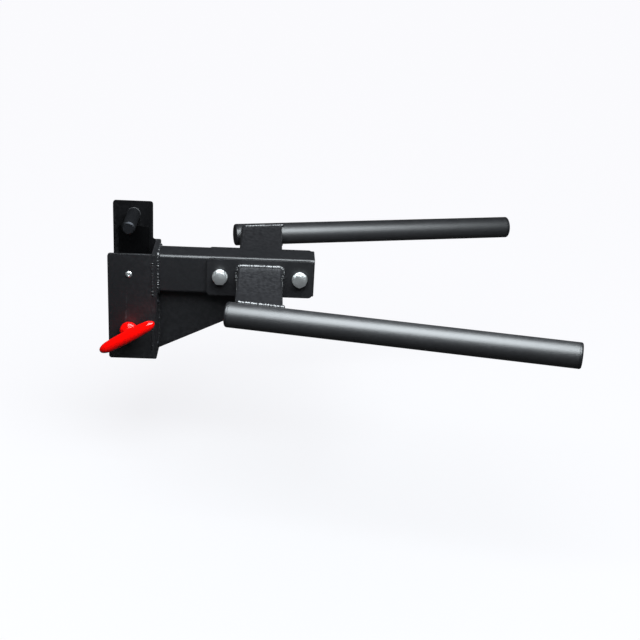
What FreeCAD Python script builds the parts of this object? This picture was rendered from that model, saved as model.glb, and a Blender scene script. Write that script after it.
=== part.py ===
"""Rack-mounted dip attachment: a locking U bracket, a box arm and two V-shaped handles.

Millimetres. Z is up, X points out of the rack along the arm, and Y runs across the upright.
The origin is on the axis of the hook pin, in the middle of the rack upright.
"Near" is the -Y side, where the locking pin goes in, and "far" is the +Y side.
"""
import FreeCAD
import Part
import math
import os

# The rack that the bracket fits
UPRIGHT = 76.2
HOLE_PITCH = 50.8
HOLE_DIAMETER = 25.4
PIN_PITCHES = 4

# Bracket plates and plastic liners
SIDE_CLEARANCE = 1.0
FRONT_CLEARANCE = 1.3
LINER_THICKNESS = 3.2
LINER_WIDTH = 58.8
LINER_MARGIN = 10.0
FAR_LINER_TOP_DROP = 48.0
PLATE_THICKNESS = 6.0
WEB_THICKNESS = 9.5
WEB_EDGE_RADIUS = 3.0
BACK_OVERHANG = 1.8
CORNER_RADIUS = 5.0
BOTTOM_BELOW_PIN = 61.8
NEAR_PLATE_HEIGHT = 214.0
FAR_TOP_ABOVE_HOOK = 25.0
FAR_UPPER_WIDTH = 76.5
FAR_EDGE_RADIUS = 4.5
STEP_RADIUS = 4.0

# Hook pin on the far plate
HOOK_FREEDOM = 0.5
HOOK_REACH = 11.9
HOOK_CHAMFER = 2.5
HOOK_SEAT_DIAMETER = 24.0
HOOK_RELIEF = 0.5
WELD_GAP = 0.05

# Arm tube and gusset
ARM_WIDTH = 57.2
ARM_HEIGHT = 76.2
ARM_WALL = 4.0
ARM_RADIUS = 6.0
ARM_TOP_DROP = 5.3
ARM_END_MARGIN = 0.2
GUSSET_THICKNESS = 6.0
GUSSET_LENGTH = 246.0
GUSSET_NOSE = 8.0
GUSSET_BOTTOM_MARGIN = 4.5
GUSSET_SNIPE = 9.0

# Plates bolted to the arm
MOUNT_THICKNESS = 6.0
MOUNT_LENGTH = 203.2
MOUNT_START = 93.6
MOUNT_TOP_DROP = 2.0
MOUNT_RADIUS = 8.0
BOLT_SPACING = 152.4

# Spreader tubes and handles
SPREADER_WIDTH = 85.0
SPREADER_HEIGHT = 45.0
SPREADER_WALL = 4.0
SPREADER_RADIUS = 5.0
SPREADER_SHORT = 8.0
HANDLE_DIAMETER = 45.5
HANDLE_WALL = 3.5
HANDLE_LENGTH = 606.0
HANDLE_TAIL = 52.2
HANDLE_HALF_SPREAD = 233.8
HANDLE_ANGLE = 12.0

# Plastic end caps
CAP_FLANGE = 6.0
CAP_DOME_RADIUS = 3.5
CAP_PLUG_LENGTH = 18.0
CAP_PLUG_WALL = 2.5
CAP_CLEARANCE = 0.25
CAP_RIBS = 3
CAP_RIB_HEIGHT = 0.2
CAP_RIB_START = 0.7
CAP_RIB_TAPER = 0.4
CAP_DOME_STEPS = 4
ARM_CAP_FLANGE = 2.5
ARM_CAP_PLUG_LENGTH = 14.0
ARM_CAP_WALL = 2.5
ARM_CAP_CHAMFER = 1.0

# Bolts, washers and lock nuts
BOLT_DIAMETER = 16.0
BOLT_HOLE_DIAMETER = 17.5
BOLT_HEAD_FLATS = 24.0
BOLT_HEAD_HEIGHT = 10.0
BOLT_END_LENGTH = 19.0
BOLT_END_CHAMFER = 1.5
WASHER_DIAMETER = 30.0
WASHER_THICKNESS = 3.0
WASHER_CLEARANCE = 0.5
NUT_HEIGHT = 11.5
NUT_COLLAR_HEIGHT = 4.5
NUT_COLLAR_WALL = 1.6
NUT_COLLAR_INSET = 0.6
NUT_INSERT_HEIGHT = 3.5
THREAD_CLEARANCE = 0.05
HEX_CHAMFER_ANGLE = 30.0
HEX_CORNER_RATIO = 1 / math.cos(math.pi / 6)
NEAR_BOLT_TURN = 30.0
OUTER_BOLT_TURN = 0.0

# Liner screws and their flat nuts
SCREW_DIAMETER = 6.0
SCREW_HEAD_DIAMETER = 12.6
SCREW_HEAD_HEIGHT = 2.8
SCREW_HEAD_RIM = 1.0
SCREW_HEAD_SHOULDER = 2.25
SCREW_HEAD_FLAT_DIAMETER = 7.0
SCREW_HEAD_SHOULDER_DIAMETER = 10.0
SCREW_SOCKET_FLATS = 4.0
SCREW_SOCKET_DEPTH = 1.8
SCREW_HOLE_CLEARANCE = 0.25
LINER_NUT_DIAMETER = 11.0
LINER_NUT_THICKNESS = 1.8
LINER_NUT_RECESS = 2.0
SCREW_BELOW_NEAR_TOP = 40.0
SCREW_BELOW_PIN = 22.0
WEB_SCREW_SPACING = 44.0
WEB_SCREW_BELOW_ARM = 22.0
WEB_SCREW_ABOVE_BOTTOM = 22.0

# Locking pin and its moulded handle
PIN_FREEDOM = 1.0
PIN_PROUD = 8.0
PIN_CHAMFER = 3.0
PIN_HOLE_CLEARANCE = 0.4
NECK_DIAMETER = 15.0
NECK_LENGTH = 24.0
NECK_GROOVE_DIAMETER = 11.0
NECK_GROOVE_WIDTH = 6.0
NECK_GROOVE_START = 10.0
NECK_FIT = 0.08
HUB_DIAMETER = 35.4
HUB_LENGTH = 17.2
HUB_GAP = 0.3
HUB_EDGE_RADIUS = 8.0
GRIP_OFFSET = 39.5
GRIP_LENGTH = 120.6
GRIP_MIDDLE_DIAMETER = 24.2
GRIP_LOBE_DIAMETER = 21.8
GRIP_LOBE_INSET = 24.0
GRIP_SHOULDER_DIAMETER = 17.8
GRIP_SHOULDER_INSET = 10.0
GRIP_TIP_RADIUS = 6.8
GRIP_TIP_ARC = 50.0
GRIP_STEM_DIAMETER = 21.5
GRIP_TILT = 31.2

# Weld beads
ARM_WELD_LEG = 5.0
SPREADER_WELD_LEG = 4.0
GUSSET_WELD_LEG = 3.5
WELD_CREST = 0.6
HOOK_WELD_LEG = 1.6
HANDLE_WELD_RADIUS = 4.0
STITCH_WIDTH = 10.0
STITCH_RISE = 1.2
LOWER_STITCH_LENGTH = 51.0
LOWER_STITCH_MARGIN = 20.0
UPPER_STITCH_LENGTH = 63.5
UPPER_STITCH_MARGIN = 17.5

# Places worked out from the sizes above
PIN_Z = -PIN_PITCHES * HOLE_PITCH
HOOK_DIAMETER = HOLE_DIAMETER - HOOK_FREEDOM
PIN_DIAMETER = HOLE_DIAMETER - PIN_FREEDOM
INNER_Y = UPRIGHT / 2 + SIDE_CLEARANCE + LINER_THICKNESS
OUTER_Y = INNER_Y + PLATE_THICKNESS
WEB_INNER_X = UPRIGHT / 2 + FRONT_CLEARANCE + LINER_THICKNESS
WEB_OUTER_X = WEB_INNER_X + WEB_THICKNESS
BACK_X = -UPRIGHT / 2 - BACK_OVERHANG
BOTTOM_Z = PIN_Z - BOTTOM_BELOW_PIN
NEAR_TOP_Z = BOTTOM_Z + NEAR_PLATE_HEIGHT
FAR_LINER_TOP_Z = FAR_TOP_ABOVE_HOOK - FAR_LINER_TOP_DROP
LINER_BOTTOM_Z = BOTTOM_Z + LINER_MARGIN
NEAR_LINER_TOP_Z = NEAR_TOP_Z - LINER_MARGIN
ARM_Z = NEAR_TOP_Z - ARM_TOP_DROP - ARM_HEIGHT / 2
ARM_TOP_Z = ARM_Z + ARM_HEIGHT / 2
ARM_BOTTOM_Z = ARM_Z - ARM_HEIGHT / 2
MOUNT_X = WEB_OUTER_X + MOUNT_START
MOUNT_CENTRE_X = MOUNT_X + MOUNT_LENGTH / 2
MOUNT_OUTER_Y = ARM_WIDTH / 2 + MOUNT_THICKNESS
ARM_END_X = MOUNT_X + MOUNT_LENGTH + ARM_END_MARGIN
BOLT_XS = (MOUNT_CENTRE_X - BOLT_SPACING / 2, MOUNT_CENTRE_X + BOLT_SPACING / 2)
SCREW_HOLE_DIAMETER = SCREW_DIAMETER + 2 * SCREW_HOLE_CLEARANCE
SIDE_SCREW_ZS = (NEAR_TOP_Z - SCREW_BELOW_NEAR_TOP, PIN_Z - SCREW_BELOW_PIN)
WEB_SCREW_ZS = (ARM_BOTTOM_Z - WEB_SCREW_BELOW_ARM, BOTTOM_Z + WEB_SCREW_ABOVE_BOTTOM)
WEB_SCREW_YS = (-WEB_SCREW_SPACING / 2, WEB_SCREW_SPACING / 2)
PIN_HOLE_RADIUS = PIN_DIAMETER / 2 + PIN_HOLE_CLEARANCE

X_AXIS = FreeCAD.Vector(1, 0, 0)
Y_AXIS = FreeCAD.Vector(0, 1, 0)
Z_AXIS = FreeCAD.Vector(0, 0, 1)


def vector(x, y, z):
    """A point or direction."""
    return FreeCAD.Vector(x, y, z)


def in_xz(u, v):
    """A point of an outline that is drawn in the XZ plane."""
    return vector(u, 0, v)


def in_yz(u, v):
    """A point of an outline that is drawn in the YZ plane."""
    return vector(0, u, v)


def rounded_wire(corners, place):
    """A closed wire through (u, v, radius) corners, with an arc at each corner that has a radius."""
    count = len(corners)
    edges = []
    ends = []
    for index in range(count):
        u, v, radius = corners[index]
        here = place(u, v)
        before = place(*corners[index - 1][:2]) - here
        after = place(*corners[(index + 1) % count][:2]) - here
        if radius <= 0:
            ends.append((here, None, here))
            continue
        before.normalize()
        after.normalize()
        half_angle = before.getAngle(after) / 2
        setback = radius / math.tan(half_angle)
        middle = before + after
        middle.normalize()
        crown = here + middle * (radius / math.sin(half_angle) - radius)
        ends.append((here + before * setback, crown, here + after * setback))
    for index in range(count):
        start, crown, finish = ends[index]
        if crown is not None:
            edges.append(Part.Arc(start, crown, finish).toShape())
        following = ends[(index + 1) % count][0]
        if (following - finish).Length > 1e-6:
            edges.append(Part.LineSegment(finish, following).toShape())
    return Part.Wire(edges)


def rectangle(u_min, v_min, u_max, v_max, radius):
    """The four corners of a rectangle, for rounded_wire."""
    points = ((u_min, v_min), (u_max, v_min), (u_max, v_max), (u_min, v_max))
    return [(u, v, radius) for u, v in points]


def plate(corners, place, offset, thickness_vector):
    """A flat plate: the outline moved by offset and extruded by thickness_vector."""
    face = Part.Face(rounded_wire(corners, place))
    face.translate(offset)
    return face.extrude(thickness_vector)


def rod(radius, start, direction, length):
    """A plain round bar or cutter."""
    return Part.makeCylinder(radius, length, start, direction)


def section_face(width, height, radius, place, centre_v=0.0):
    """A face with a rounded rectangular outline about (0, centre_v)."""
    corners = rectangle(-width / 2, centre_v - height / 2, width / 2, centre_v + height / 2, radius)
    return Part.Face(rounded_wire(corners, place))


def box_tube(width, height, wall, radius, place, length_vector):
    """A rolled rectangular tube, centred on the origin of its section plane."""
    outer = section_face(width, height, radius, place).extrude(length_vector)
    inner = section_face(width - 2 * wall, height - 2 * wall, radius - wall / 2, place)
    return outer.cut(inner.extrude(length_vector))


def turned(points, centre, axis):
    """A turned piece: (along, radius) points in order, revolved about the axis through centre."""
    side = Z_AXIS if abs(axis.z) < 0.5 else X_AXIS
    places = [centre + axis * along + side * radius for along, radius in points]
    outline = Part.makePolygon(places + places[:1])
    return Part.Face(outline).revolve(centre, axis, 360)


def hexagon(flats, turn):
    """The corners of a hexagon about the origin, for rounded_wire."""
    radius = flats * HEX_CORNER_RATIO / 2
    angles = [math.radians(60 * index + turn) for index in range(6)]
    return [(radius * math.cos(angle), radius * math.sin(angle), 0) for angle in angles]


def hexagon_prism(flats, height, centre, axis, turn):
    """A hexagonal prism with the washer-face chamfer of a bolt head on its free end."""
    across_corners = flats * HEX_CORNER_RATIO
    prism = Part.Face(rounded_wire(hexagon(flats, turn), in_xz)).extrude(vector(0, height, 0))
    slope = math.tan(math.radians(HEX_CHAMFER_ANGLE))
    rise = (across_corners - flats) / 2 * slope
    envelope = turned(
        [
            (0, 0),
            (0, across_corners),
            (height - rise - across_corners / 2 * slope, across_corners),
            (height, flats / 2),
            (height, 0),
        ],
        vector(0, 0, 0),
        Y_AXIS,
    )
    prism = prism.common(envelope)
    if axis.y < 0:
        prism.rotate(vector(0, 0, 0), Z_AXIS, 180)
    prism.translate(centre)
    return prism


def near_side_plate():
    """The short side plate, with the locking pin's hole and two liner screw holes."""
    corners = [
        (BACK_X, BOTTOM_Z, CORNER_RADIUS),
        (WEB_INNER_X, BOTTOM_Z, 0),
        (WEB_INNER_X, NEAR_TOP_Z, 0),
        (BACK_X, NEAR_TOP_Z, CORNER_RADIUS),
    ]
    body = plate(corners, in_xz, vector(0, -OUTER_Y, 0), vector(0, PLATE_THICKNESS, 0))
    body = body.cut(rod(PIN_HOLE_RADIUS, vector(0, -OUTER_Y, PIN_Z), Y_AXIS, PLATE_THICKNESS))
    for z in SIDE_SCREW_ZS:
        body = body.cut(rod(SCREW_HOLE_DIAMETER / 2, vector(0, -OUTER_Y, z), Y_AXIS, PLATE_THICKNESS))
    return body


def far_side_plate():
    """The tall side plate, stepped in above the web, with one rounded edge and both pins' holes."""
    upper_x = BACK_X + FAR_UPPER_WIDTH
    corners = [
        (BACK_X, BOTTOM_Z, CORNER_RADIUS),
        (WEB_INNER_X, BOTTOM_Z, 0),
        (WEB_INNER_X, NEAR_TOP_Z, 0),
        (upper_x, NEAR_TOP_Z, STEP_RADIUS),
        (upper_x, FAR_TOP_ABOVE_HOOK, CORNER_RADIUS),
        (BACK_X, FAR_TOP_ABOVE_HOOK, CORNER_RADIUS),
    ]
    body = plate(corners, in_xz, vector(0, INNER_Y, 0), vector(0, PLATE_THICKNESS, 0))
    edge_foot = vector(upper_x - FAR_EDGE_RADIUS, INNER_Y, NEAR_TOP_Z + STEP_RADIUS)
    edge_height = FAR_TOP_ABOVE_HOOK - edge_foot.z
    corner = Part.makeBox(FAR_EDGE_RADIUS, FAR_EDGE_RADIUS, edge_height, edge_foot)
    edge_centre = edge_foot + Y_AXIS * FAR_EDGE_RADIUS
    body = body.cut(corner.cut(rod(FAR_EDGE_RADIUS, edge_centre, Z_AXIS, edge_height)))
    seat_radius = HOOK_SEAT_DIAMETER / 2 + WELD_GAP
    body = body.cut(rod(seat_radius, vector(0, INNER_Y, 0), Y_AXIS, PLATE_THICKNESS))
    body = body.cut(rod(PIN_HOLE_RADIUS, vector(0, INNER_Y, PIN_Z), Y_AXIS, PLATE_THICKNESS))
    for z in SIDE_SCREW_ZS:
        body = body.cut(rod(SCREW_HOLE_DIAMETER / 2, vector(0, INNER_Y, z), Y_AXIS, PLATE_THICKNESS))
    return body


def web_plate():
    """The plate across the front of the bracket, with rounded outer edges."""
    height = NEAR_TOP_Z - BOTTOM_Z
    body = Part.makeBox(WEB_THICKNESS, 2 * OUTER_Y, height, vector(WEB_INNER_X, -OUTER_Y, BOTTOM_Z))
    outer_edges = []
    for edge in body.Edges:
        middle = edge.CenterOfMass
        on_face = abs(middle.x - WEB_OUTER_X) < 1e-6
        level = abs(middle.y) < 1e-6
        if on_face and level:
            outer_edges.append(edge)
    body = body.makeFillet(WEB_EDGE_RADIUS, outer_edges)
    for y in WEB_SCREW_YS:
        for z in WEB_SCREW_ZS:
            start = vector(WEB_INNER_X, y, z)
            body = body.cut(rod(SCREW_HOLE_DIAMETER / 2, start, X_AXIS, WEB_THICKNESS))
    return body


def hook_pin():
    """The fixed hook pin: free end chamfered, root turned down where it is welded into the plate."""
    radius = HOOK_DIAMETER / 2
    seat_radius = HOOK_SEAT_DIAMETER / 2
    free_end = -UPRIGHT / 2 - HOOK_REACH
    root = INNER_Y - HOOK_WELD_LEG - HOOK_RELIEF
    points = [
        (free_end, 0),
        (free_end, radius - HOOK_CHAMFER),
        (free_end + HOOK_CHAMFER, radius),
        (root, radius),
        (root, seat_radius),
        (OUTER_Y, seat_radius),
        (OUTER_Y, 0),
    ]
    return turned(points, vector(0, 0, 0), Y_AXIS)


def liner_body(bottom_z, top_z):
    """A liner strip with rounded corners, lying at the origin with its back face at Y = 0."""
    corners = rectangle(-LINER_WIDTH / 2, bottom_z, LINER_WIDTH / 2, top_z, CORNER_RADIUS)
    return plate(corners, in_xz, vector(0, 0, 0), vector(0, LINER_THICKNESS, 0))


def liner_nut_seat(face_point, inward):
    """The hole and nut recess of one liner screw, cut from the face that the upright slides on."""
    hole = rod(SCREW_HOLE_DIAMETER / 2, face_point - inward * LINER_THICKNESS, inward, LINER_THICKNESS)
    recess_radius = LINER_NUT_DIAMETER / 2 + SCREW_HOLE_CLEARANCE
    recess = rod(recess_radius, face_point - inward * LINER_NUT_RECESS, inward, LINER_NUT_RECESS)
    return hole.fuse(recess)


def near_liner():
    """The plastic strip on the inner face of the near plate."""
    body = liner_body(LINER_BOTTOM_Z, NEAR_LINER_TOP_Z)
    body.translate(vector(0, -INNER_Y, 0))
    body = body.cut(rod(PIN_HOLE_RADIUS, vector(0, -INNER_Y, PIN_Z), Y_AXIS, LINER_THICKNESS))
    for z in SIDE_SCREW_ZS:
        body = body.cut(liner_nut_seat(vector(0, LINER_THICKNESS - INNER_Y, z), Y_AXIS))
    return body


def far_liner():
    """The plastic strip on the inner face of the far plate, reaching up to the hook pin."""
    face_y = INNER_Y - LINER_THICKNESS
    body = liner_body(LINER_BOTTOM_Z, FAR_LINER_TOP_Z)
    body.translate(vector(0, face_y, 0))
    body = body.cut(rod(PIN_HOLE_RADIUS, vector(0, face_y, PIN_Z), Y_AXIS, LINER_THICKNESS))
    for z in SIDE_SCREW_ZS:
        body = body.cut(liner_nut_seat(vector(0, face_y, z), Y_AXIS * -1))
    return body


def web_liner():
    """The plastic strip on the inner face of the web."""
    half = LINER_WIDTH / 2
    corners = rectangle(-half, LINER_BOTTOM_Z, half, NEAR_LINER_TOP_Z, CORNER_RADIUS)
    face_x = WEB_INNER_X - LINER_THICKNESS
    body = plate(corners, in_yz, vector(face_x, 0, 0), vector(LINER_THICKNESS, 0, 0))
    for y in WEB_SCREW_YS:
        for z in WEB_SCREW_ZS:
            body = body.cut(liner_nut_seat(vector(face_x, y, z), X_AXIS * -1))
    return body


def liner_screw(outer_point, inward, plate_thickness):
    """A low button-head screw with a hex socket, its head on outer_point and its shank inward."""
    head_radius = SCREW_HEAD_DIAMETER / 2
    shank_radius = SCREW_DIAMETER / 2
    shank_end = plate_thickness + LINER_THICKNESS - LINER_NUT_RECESS + LINER_NUT_THICKNESS
    points = [
        (-SCREW_HEAD_HEIGHT, 0),
        (-SCREW_HEAD_HEIGHT, SCREW_HEAD_FLAT_DIAMETER / 2),
        (-SCREW_HEAD_SHOULDER, SCREW_HEAD_SHOULDER_DIAMETER / 2),
        (-SCREW_HEAD_RIM, head_radius),
        (0, head_radius),
        (0, shank_radius),
        (shank_end, shank_radius),
        (shank_end, 0),
    ]
    screw = turned(points, outer_point, inward)
    place = in_xz if abs(inward.y) > abs(inward.x) else in_yz
    socket = Part.Face(rounded_wire(hexagon(SCREW_SOCKET_FLATS, 0), place))
    socket.translate(outer_point - inward * SCREW_HEAD_HEIGHT)
    return screw.cut(socket.extrude(inward * SCREW_SOCKET_DEPTH))


def liner_nut(face_point, inward):
    """A thin round nut sunk in a liner's recess."""
    seat = face_point - inward * LINER_NUT_RECESS
    body = rod(LINER_NUT_DIAMETER / 2, seat, inward, LINER_NUT_THICKNESS)
    return body.cut(rod(SCREW_DIAMETER / 2 + THREAD_CLEARANCE, seat, inward, LINER_NUT_THICKNESS))


def liner_fasteners():
    """The screws and the nuts of all three liners, as two groups of separate solids."""
    screws = []
    nuts = []
    for z in SIDE_SCREW_ZS:
        screws.append(liner_screw(vector(0, -OUTER_Y, z), Y_AXIS, PLATE_THICKNESS))
        nuts.append(liner_nut(vector(0, LINER_THICKNESS - INNER_Y, z), Y_AXIS))
        screws.append(liner_screw(vector(0, OUTER_Y, z), Y_AXIS * -1, PLATE_THICKNESS))
        nuts.append(liner_nut(vector(0, INNER_Y - LINER_THICKNESS, z), Y_AXIS * -1))
    for y in WEB_SCREW_YS:
        for z in WEB_SCREW_ZS:
            screws.append(liner_screw(vector(WEB_OUTER_X, y, z), X_AXIS * -1, WEB_THICKNESS))
            nuts.append(liner_nut(vector(WEB_INNER_X - LINER_THICKNESS, y, z), X_AXIS * -1))
    return Part.makeCompound(screws), Part.makeCompound(nuts)


def arm_tube():
    """The rectangular arm, welded to the web and cross-drilled for the two bolts."""
    length = ARM_END_X - WEB_OUTER_X
    body = box_tube(ARM_WIDTH, ARM_HEIGHT, ARM_WALL, ARM_RADIUS, in_yz, vector(length, 0, 0))
    body.translate(vector(WEB_OUTER_X, 0, ARM_Z))
    for x in BOLT_XS:
        body = body.cut(rod(BOLT_HOLE_DIAMETER / 2, vector(x, -ARM_WIDTH / 2, ARM_Z), Y_AXIS, ARM_WIDTH))
    return body


def gusset_plate():
    """The triangular plate under the arm, sniped at the inner corner to clear the arm's weld."""
    nose_x = WEB_OUTER_X + GUSSET_LENGTH
    corners = [
        (WEB_OUTER_X, BOTTOM_Z + GUSSET_BOTTOM_MARGIN, 0),
        (nose_x, ARM_BOTTOM_Z - GUSSET_NOSE, 0),
        (nose_x, ARM_BOTTOM_Z, 0),
        (WEB_OUTER_X + GUSSET_SNIPE, ARM_BOTTOM_Z, 0),
        (WEB_OUTER_X, ARM_BOTTOM_Z - GUSSET_SNIPE, 0),
    ]
    return plate(corners, in_xz, vector(0, -GUSSET_THICKNESS / 2, 0), vector(0, GUSSET_THICKNESS, 0))


def mounting_plate(side):
    """A plate bolted to one side of the arm; side is -1 for near and 1 for far."""
    end_x = MOUNT_X + MOUNT_LENGTH
    top_z = ARM_TOP_Z - MOUNT_TOP_DROP
    corners = rectangle(MOUNT_X, ARM_BOTTOM_Z, end_x, top_z, MOUNT_RADIUS)
    start_y = ARM_WIDTH / 2 if side > 0 else -MOUNT_OUTER_Y
    body = plate(corners, in_xz, vector(0, start_y, 0), vector(0, MOUNT_THICKNESS, 0))
    for x in BOLT_XS:
        body = body.cut(rod(BOLT_HOLE_DIAMETER / 2, vector(x, start_y, ARM_Z), Y_AXIS, MOUNT_THICKNESS))
    return body


def handle_frame(side):
    """A point on the handle's axis beside the spreader, and the axis direction towards the open end."""
    angle = math.radians(HANDLE_ANGLE)
    beside = vector(MOUNT_CENTRE_X, side * HANDLE_HALF_SPREAD, ARM_Z)
    return beside, vector(math.cos(angle), side * math.sin(angle), 0)


def handle_tube(side):
    """One round handle tube."""
    beside, direction = handle_frame(side)
    start = beside - direction * HANDLE_TAIL
    outer = rod(HANDLE_DIAMETER / 2, start, direction, HANDLE_LENGTH)
    return outer.cut(rod(HANDLE_DIAMETER / 2 - HANDLE_WALL, start, direction, HANDLE_LENGTH))


def spreader_blank(side, wall):
    """The flat tube from the mounting plate outwards, before its end is coped."""
    reach = HANDLE_HALF_SPREAD + HANDLE_DIAMETER - MOUNT_OUTER_Y
    length_vector = vector(0, side * reach, 0)
    size = (SPREADER_WIDTH, SPREADER_HEIGHT)
    if wall > 0:
        body = box_tube(*size, wall, SPREADER_RADIUS, in_xz, length_vector)
    else:
        body = section_face(*size, SPREADER_RADIUS, in_xz).extrude(length_vector)
    body.translate(vector(MOUNT_CENTRE_X, side * MOUNT_OUTER_Y, ARM_Z))
    return body


def beyond_handle(side):
    """The space outside a plane just short of the handle's axis, which trims the spreader."""
    beside = handle_frame(side)[0]
    size = 2 * HANDLE_DIAMETER + SPREADER_WIDTH
    block = Part.makeBox(2 * size, size, 2 * size, vector(-size, 0, -size))
    if side < 0:
        block.rotate(vector(0, 0, 0), Z_AXIS, 180)
    block.translate(vector(0, -side * SPREADER_SHORT, 0))
    block.rotate(vector(0, 0, 0), Z_AXIS, side * HANDLE_ANGLE)
    block.translate(beside)
    return block


def coped_end(body, side):
    """Trims a spreader body to fit round its handle."""
    beside, direction = handle_frame(side)
    start = beside - direction * HANDLE_TAIL
    round_cut = rod(HANDLE_DIAMETER / 2, start, direction, HANDLE_LENGTH)
    return body.cut(beyond_handle(side)).cut(round_cut)


def spreader_tube(side):
    """The flat tube that carries one handle, coped to the angled round tube."""
    return coped_end(spreader_blank(side, SPREADER_WALL), side)


def end_cap(centre, outward):
    """A domed plastic cap with a hollow ribbed plug, its flange seated on a tube end at centre."""
    bore = HANDLE_DIAMETER / 2 - HANDLE_WALL
    plug = bore - CAP_CLEARANCE
    ribbed = bore - CAP_CLEARANCE + CAP_RIB_HEIGHT
    rim = HANDLE_DIAMETER / 2
    points = [(CAP_FLANGE, 0)]
    for step in range(CAP_DOME_STEPS + 1):
        angle = math.pi / 2 * (1 - step / CAP_DOME_STEPS)
        along = CAP_FLANGE - CAP_DOME_RADIUS + CAP_DOME_RADIUS * math.sin(angle)
        points.append((along, rim - CAP_DOME_RADIUS + CAP_DOME_RADIUS * math.cos(angle)))
    points += [(0, rim), (0, plug)]
    pitch = CAP_PLUG_LENGTH / (CAP_RIBS + 1)
    for rib in range(CAP_RIBS):
        along = -pitch * (rib + CAP_RIB_START)
        points += [(along, plug), (along, ribbed), (along - CAP_RIB_TAPER * pitch, plug)]
    points += [(-CAP_PLUG_LENGTH, plug), (-CAP_PLUG_LENGTH, plug - CAP_PLUG_WALL)]
    points += [(0, plug - CAP_PLUG_WALL), (0, 0)]
    return turned(points, centre, outward)


def handle_caps(side):
    """The closed-end and open-end caps of one handle."""
    beside, direction = handle_frame(side)
    start = beside - direction * HANDLE_TAIL
    finish = start + direction * HANDLE_LENGTH
    return end_cap(start, direction * -1), end_cap(finish, direction)


def arm_end_cap():
    """The plastic cap in the open end of the arm: a thin flange and a hollow plug."""
    flange = section_face(ARM_WIDTH, ARM_HEIGHT, ARM_RADIUS, in_yz)
    flange = flange.extrude(vector(ARM_CAP_FLANGE, 0, 0))
    face_edges = [edge for edge in flange.Edges if edge.BoundBox.XMin > ARM_CAP_FLANGE - 1e-6]
    flange = flange.makeChamfer(ARM_CAP_CHAMFER, face_edges)
    width = ARM_WIDTH - 2 * (ARM_WALL + CAP_CLEARANCE)
    height = ARM_HEIGHT - 2 * (ARM_WALL + CAP_CLEARANCE)
    plug_radius = ARM_RADIUS - ARM_WALL / 2
    length_vector = vector(-ARM_CAP_PLUG_LENGTH, 0, 0)
    plug = box_tube(width, height, ARM_CAP_WALL, plug_radius, in_yz, length_vector)
    body = flange.fuse(plug)
    body.translate(vector(ARM_END_X, 0, ARM_Z))
    return body.removeSplitter()


def clamp_bolt(x, turn):
    """A hex bolt through the arm and both mounting plates, its head on the near side."""
    seat_y = -MOUNT_OUTER_Y - WASHER_THICKNESS
    head = hexagon_prism(BOLT_HEAD_FLATS, BOLT_HEAD_HEIGHT, vector(x, seat_y, ARM_Z), Y_AXIS * -1, turn)
    radius = BOLT_DIAMETER / 2
    shank_length = 2 * (MOUNT_OUTER_Y + WASHER_THICKNESS) + BOLT_END_LENGTH
    points = [
        (0, 0),
        (0, radius),
        (shank_length - BOLT_END_CHAMFER, radius),
        (shank_length, radius - BOLT_END_CHAMFER),
        (shank_length, 0),
    ]
    return head.fuse(turned(points, vector(x, seat_y, ARM_Z), Y_AXIS)).removeSplitter()


def bolt_washers():
    """Four flat washers, one under each bolt head and each nut."""
    washers = []
    for x in BOLT_XS:
        for start_y in (-MOUNT_OUTER_Y - WASHER_THICKNESS, MOUNT_OUTER_Y):
            seat = vector(x, start_y, ARM_Z)
            washer = rod(WASHER_DIAMETER / 2, seat, Y_AXIS, WASHER_THICKNESS)
            hole = rod(BOLT_DIAMETER / 2 + WASHER_CLEARANCE, seat, Y_AXIS, WASHER_THICKNESS)
            washers.append(washer.cut(hole))
    return Part.makeCompound(washers)


def lock_nut(x, turn):
    """A lock nut: a hexagon with a rolled collar that holds the nylon ring."""
    seat = vector(x, MOUNT_OUTER_Y + WASHER_THICKNESS, ARM_Z)
    body = hexagon_prism(BOLT_HEAD_FLATS, NUT_HEIGHT, seat, Y_AXIS, turn)
    collar_seat = seat + Y_AXIS * NUT_HEIGHT
    collar_radius = BOLT_HEAD_FLATS / 2 - NUT_COLLAR_INSET
    collar = rod(collar_radius, collar_seat, Y_AXIS, NUT_COLLAR_HEIGHT)
    ring_space = rod(collar_radius - NUT_COLLAR_WALL, collar_seat, Y_AXIS, NUT_COLLAR_HEIGHT)
    body = body.fuse(collar.cut(ring_space))
    thread = rod(BOLT_DIAMETER / 2 + THREAD_CLEARANCE, seat, Y_AXIS, NUT_HEIGHT)
    return body.cut(thread).removeSplitter()


def nut_insert(x):
    """The nylon ring inside a lock nut's collar."""
    seat = vector(x, MOUNT_OUTER_Y + WASHER_THICKNESS + NUT_HEIGHT, ARM_Z)
    outer = BOLT_HEAD_FLATS / 2 - NUT_COLLAR_INSET - NUT_COLLAR_WALL
    ring = rod(outer, seat, Y_AXIS, NUT_INSERT_HEIGHT)
    return ring.cut(rod(BOLT_DIAMETER / 2 + THREAD_CLEARANCE, seat, Y_AXIS, NUT_INSERT_HEIGHT))


def locking_pin_shaft():
    """The loose pin: a chamfered shank and a grooved neck that the handle is moulded on."""
    radius = PIN_DIAMETER / 2
    neck = NECK_DIAMETER / 2
    groove = NECK_GROOVE_DIAMETER / 2
    tip = OUTER_Y + PIN_PROUD
    back = -OUTER_Y
    points = [
        (back - NECK_LENGTH, 0),
        (back - NECK_LENGTH, neck),
        (back - NECK_GROOVE_START - NECK_GROOVE_WIDTH, neck),
        (back - NECK_GROOVE_START - NECK_GROOVE_WIDTH, groove),
        (back - NECK_GROOVE_START, groove),
        (back - NECK_GROOVE_START, neck),
        (back, neck),
        (back, radius),
        (tip - PIN_CHAMFER, radius),
        (tip, radius - PIN_CHAMFER),
        (tip, 0),
    ]
    return turned(points, vector(0, 0, PIN_Z), Y_AXIS)


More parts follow.
